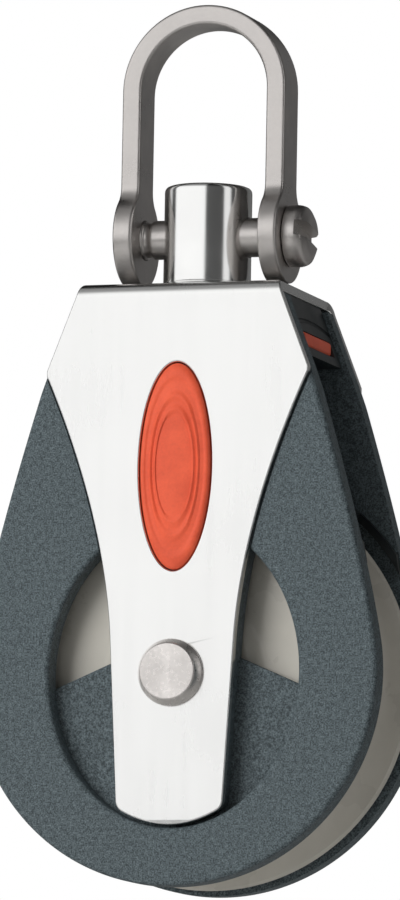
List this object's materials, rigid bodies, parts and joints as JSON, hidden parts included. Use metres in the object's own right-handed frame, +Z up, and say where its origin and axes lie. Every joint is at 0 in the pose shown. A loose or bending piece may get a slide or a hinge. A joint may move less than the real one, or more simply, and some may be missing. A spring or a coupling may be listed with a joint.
{
  "type": "swivel head rope block",
  "caption": "Sheave block for rope: ball-bearing sheave between composite cheeks in a folded steel strap, lockable swivel head and screw-pin shackle.",
  "frame": {"origin": "middle of the inside of the shackle bow's crown, where the object hangs", "axes": "+Z up through the hanging point, X along the shackle pin with its head at +X, Y along the sheave's axle with the front at -Y"},
  "size_m": [0.0642, 0.032, 0.1358],
  "materials": {
    "polished_steel": "polished stainless sheet and bar",
    "satin_steel": "tumbled or turned stainless",
    "slate_nylon": "fine-grained glass-filled nylon, slate grey",
    "black_nylon": "moulded glass-filled nylon, near black",
    "cream_acetal": "smooth moulded acetal, cream",
    "white_acetal": "smooth acetal, white",
    "red_plastic": "orange-red moulded plastic, soft gloss"
  },
  "bodies": {
    "shackle": {"shackle_bow": "satin_steel"},
    "shackle_pin": {"shackle_pin": "satin_steel"},
    "swivel": {"swivel_post": "polished_steel", "swivel_nut": "satin_steel", "post_washer": "white_acetal", "thrust_washer": "white_acetal"},
    "block": {"strap": "polished_steel", "front_cheek": "slate_nylon", "rear_cheek": "slate_nylon", "head_block": "black_nylon", "cheek_dowel_left": "satin_steel", "cheek_dowel_right": "satin_steel", "front_badge": "red_plastic", "rear_badge": "red_plastic", "axle": "satin_steel", "axle_cap": "satin_steel", "hub_sleeve": "satin_steel", "front_side_washer": "white_acetal", "rear_side_washer": "white_acetal"},
    "lock_slider": {"lock_slider": "red_plastic"},
    "sheave": {"sheave": "cream_acetal", "front_ball_retainer": "cream_acetal", "rear_ball_retainer": "cream_acetal"},
    "ball_rows": {"ball_front_01": "white_acetal", "ball_front_02": "white_acetal", "ball_front_03": "white_acetal", "ball_front_04": "white_acetal", "ball_front_05": "white_acetal", "ball_front_06": "white_acetal", "ball_front_07": "white_acetal", "ball_front_08": "white_acetal", "ball_front_09": "white_acetal", "ball_front_10": "white_acetal", "ball_front_11": "white_acetal", "ball_front_12": "white_acetal", "ball_front_13": "white_acetal", "ball_front_14": "white_acetal", "ball_rear_01": "white_acetal", "ball_rear_02": "white_acetal", "ball_rear_03": "white_acetal", "ball_rear_04": "white_acetal", "ball_rear_05": "white_acetal", "ball_rear_06": "white_acetal", "ball_rear_07": "white_acetal", "ball_rear_08": "white_acetal", "ball_rear_09": "white_acetal", "ball_rear_10": "white_acetal", "ball_rear_11": "white_acetal", "ball_rear_12": "white_acetal", "ball_rear_13": "white_acetal", "ball_rear_14": "white_acetal"}
  },
  "joints": [
    {"name": "shackle_swing", "type": "hinge", "parent": "shackle", "child": "swivel", "pos_m": [0, 0, -0.03275], "axis": [1, 0, 0], "range_deg": [-105, 105]},
    {"name": "shackle_pin_withdraw", "type": "slide", "parent": "shackle", "child": "shackle_pin", "axis": [1, 0, 0], "range_m": [0, 0.03]},
    {"name": "head_swivel", "type": "hinge", "parent": "swivel", "child": "block", "pos_m": [0, 0, -0.042], "axis": [0, 0, 1], "continuous": true},
    {"name": "lock_slide", "type": "slide", "parent": "block", "child": "lock_slider", "axis": [-1, 0, 0], "range_m": [0, 0.0036]},
    {"name": "sheave_spin", "type": "hinge", "parent": "block", "child": "sheave", "pos_m": [0, 0, -0.10071], "axis": [0, 1, 0], "continuous": true},
    {"name": "ball_orbit", "type": "hinge", "parent": "block", "child": "ball_rows", "pos_m": [0, 0, -0.10071], "axis": [0, 1, 0], "continuous": true}
  ],
  "couplings": [
    {"joint": "ball_orbit", "follows": "sheave_spin", "ratio": 0.6017}
  ]
}
